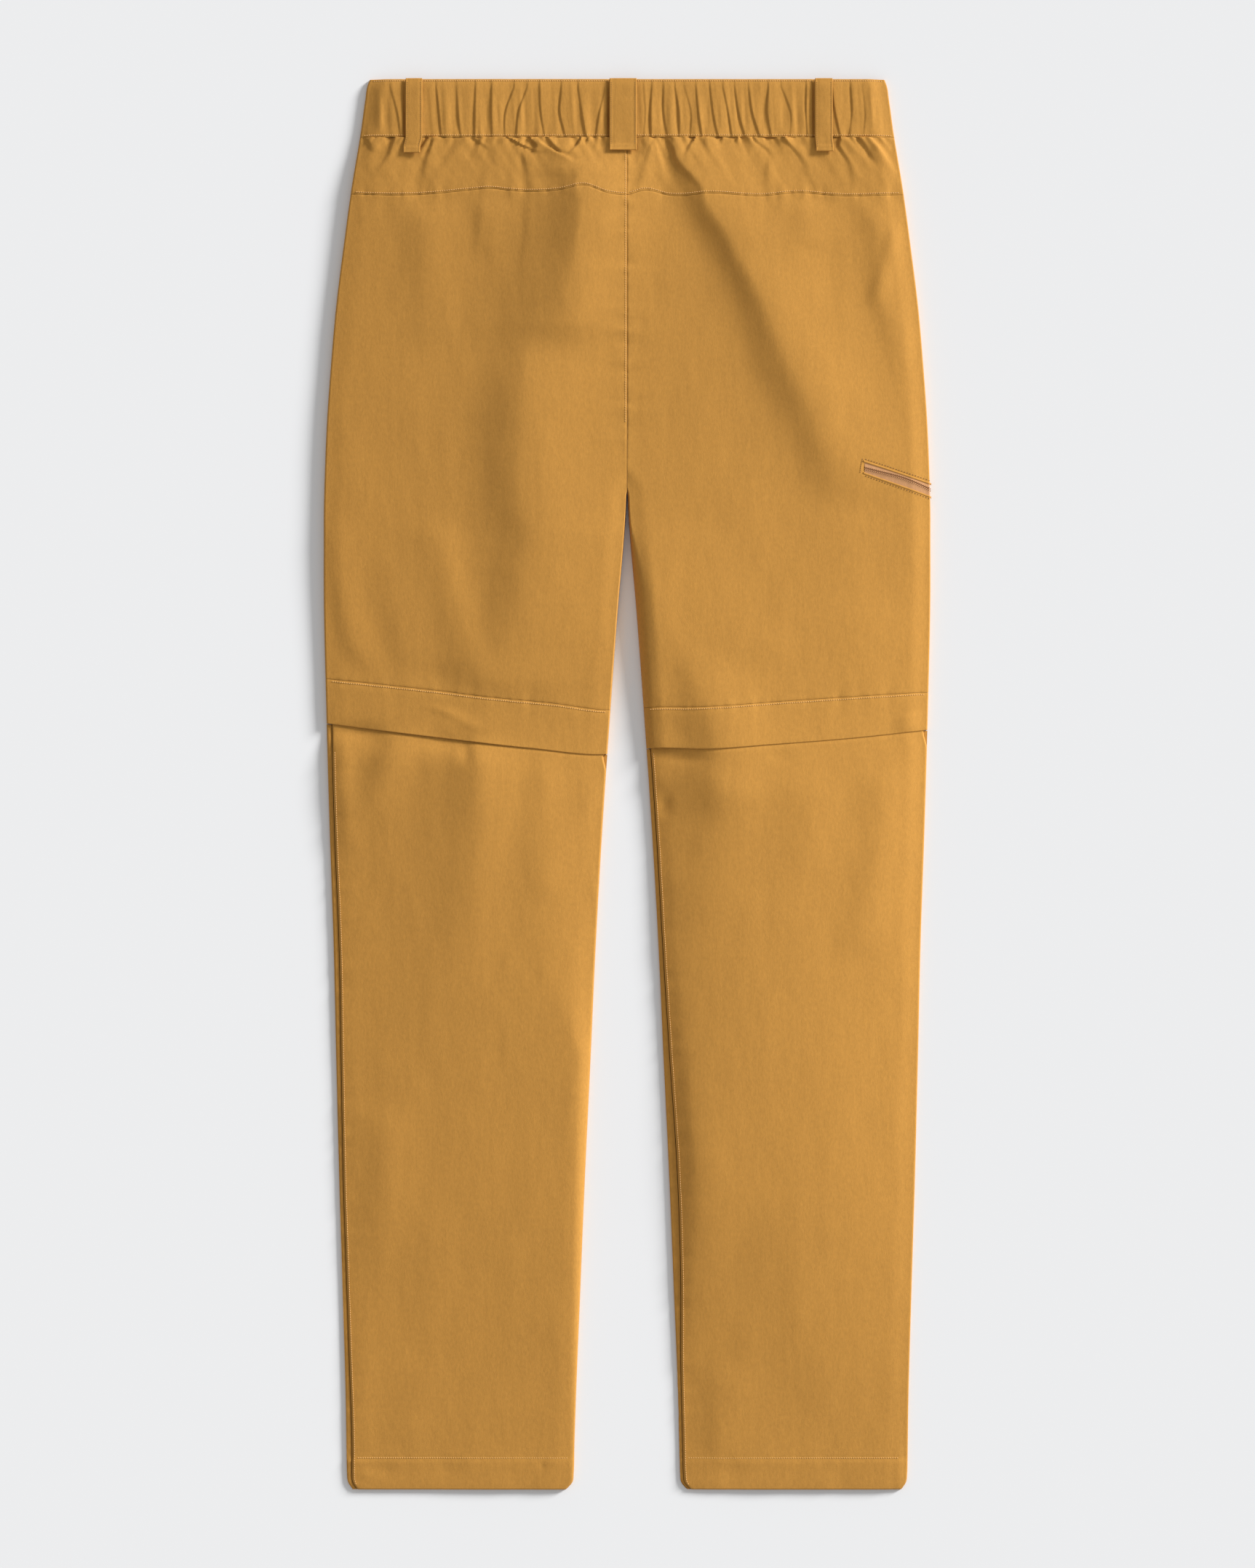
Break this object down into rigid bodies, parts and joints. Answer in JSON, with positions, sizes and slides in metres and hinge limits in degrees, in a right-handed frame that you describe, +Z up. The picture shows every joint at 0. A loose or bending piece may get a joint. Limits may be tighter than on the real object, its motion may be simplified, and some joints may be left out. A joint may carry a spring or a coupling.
{
  "type": "convertible zip-off trousers",
  "caption": "Convertible trousers laid flat back side up, with a gathered back waistband, belt loops, a back yoke, flaps over the knee zips and a zipped thigh pocket.",
  "frame": {"origin": "middle of the garment's outline, on the surface that it lies on", "axes": "+Y towards the waistband, +X towards the wearer's right leg, +Z up out of the back side of the garment"},
  "size_m": [0.4588, 1.0668, 0.014],
  "materials": {
    "shell_cloth": "ochre plain-weave cloth, matt with a faint sheen",
    "zip_tape": "tan woven zip tape, matt",
    "snap_metal": "satin"
  },
  "bodies": {
    "root": {"waistband_back": "shell_cloth", "waistband_front_left": "shell_cloth", "waistband_front_right": "shell_cloth", "belt_loop_back_left": "shell_cloth", "belt_loop_center_back": "shell_cloth", "belt_loop_back_right": "shell_cloth", "yoke_left": "shell_cloth", "yoke_right": "shell_cloth", "back_panel_left": "shell_cloth", "back_panel_right": "shell_cloth", "front_panel_left": "shell_cloth", "front_panel_right": "shell_cloth", "zip_flap_back_left": "shell_cloth", "zip_flap_back_right": "shell_cloth", "zip_flap_front_left": "shell_cloth", "zip_flap_front_right": "shell_cloth", "lower_back_left": "shell_cloth", "lower_back_right": "shell_cloth", "lower_front_left": "shell_cloth", "lower_front_right": "shell_cloth", "knee_zip_back_left": "zip_tape", "knee_zip_back_right": "zip_tape", "knee_zip_front_left": "zip_tape", "knee_zip_front_right": "zip_tape", "thigh_pocket_zip": "zip_tape", "fly_zip": "zip_tape", "waist_snap": "snap_metal"}
  },
  "joints": []
}
